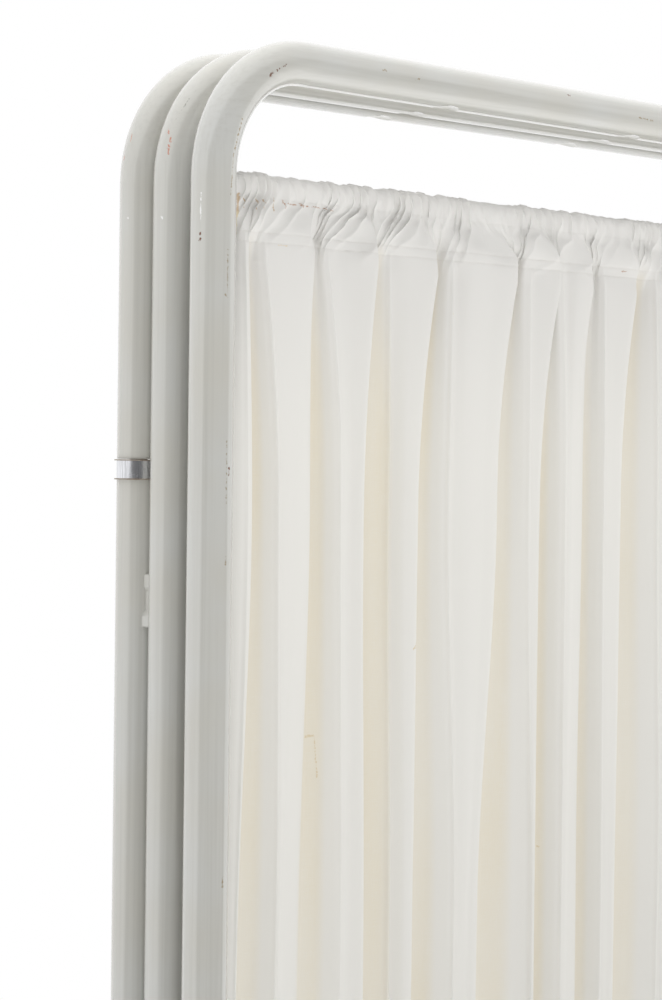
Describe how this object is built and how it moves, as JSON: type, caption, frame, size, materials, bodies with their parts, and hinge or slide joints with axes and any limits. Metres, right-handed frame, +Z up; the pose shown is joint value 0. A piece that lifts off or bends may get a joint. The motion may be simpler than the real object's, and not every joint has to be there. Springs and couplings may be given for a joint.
{
  "type": "folding room divider screen",
  "caption": "Tall folding screen of bent steel tube: a standing centre frame on cross feet carries two hinged wings, each with a gathered curtain.",
  "frame": {"origin": "on the floor, under the middle of the centre frame", "axes": "X along the frames, Y depth with the front wing at -Y, Z up"},
  "size_m": [0.7202, 0.4078, 1.75],
  "materials": {
    "frame_paint": "gloss enamel, warm light grey, a few chips",
    "polished_steel": "polished",
    "dull_steel": "dull",
    "rod_steel": "satin",
    "screw_steel": "satin",
    "curtain_cloth": "plain cotton, unbleached",
    "rubber": "matte",
    "nylon": "matte"
  },
  "bodies": {
    "centre": {"centre_frame": "frame_paint", "centre_lower_bar": "frame_paint", "left_foot": "frame_paint", "right_foot": "frame_paint", "foot_caps": "rubber", "foot_glides": "rubber", "glide_screws": "screw_steel", "leg_plugs": "screw_steel", "foot_bolts": "screw_steel", "front_hinge_post": "frame_paint", "rear_hinge_post": "frame_paint", "hinge_lugs": "frame_paint", "lug_screws": "screw_steel", "hinge_bushes": "nylon", "upper_bearing_rings": "polished_steel", "upper_ring_washers": "dull_steel", "centre_top_rod": "rod_steel", "centre_bottom_rod": "rod_steel", "centre_curtain": "curtain_cloth"},
    "front_wing": {"front_frame": "frame_paint", "front_hinge_plugs": "screw_steel", "front_hinge_pins": "screw_steel", "front_set_screws": "dull_steel", "front_lower_ring": "polished_steel", "front_ring_washers": "dull_steel", "front_top_rod": "rod_steel", "front_bottom_rod": "rod_steel", "front_curtain": "curtain_cloth"},
    "rear_wing": {"rear_frame": "frame_paint", "rear_hinge_plugs": "screw_steel", "rear_hinge_pins": "screw_steel", "rear_set_screws": "dull_steel", "rear_lower_ring": "polished_steel", "rear_ring_washers": "dull_steel", "rear_top_rod": "rod_steel", "rear_bottom_rod": "rod_steel", "rear_curtain": "curtain_cloth"}
  },
  "joints": [
    {"name": "front_wing_hinge", "type": "hinge", "parent": "centre", "child": "front_wing", "pos_m": [0.32965, -0.03186, 0.9425], "axis": [0, 0, 1], "range_deg": [-1.3, 178.7]},
    {"name": "rear_wing_hinge", "type": "hinge", "parent": "centre", "child": "rear_wing", "pos_m": [-0.34, 0.0335, 0.9425], "axis": [0, 0, 1], "range_deg": [0, 180]}
  ]
}
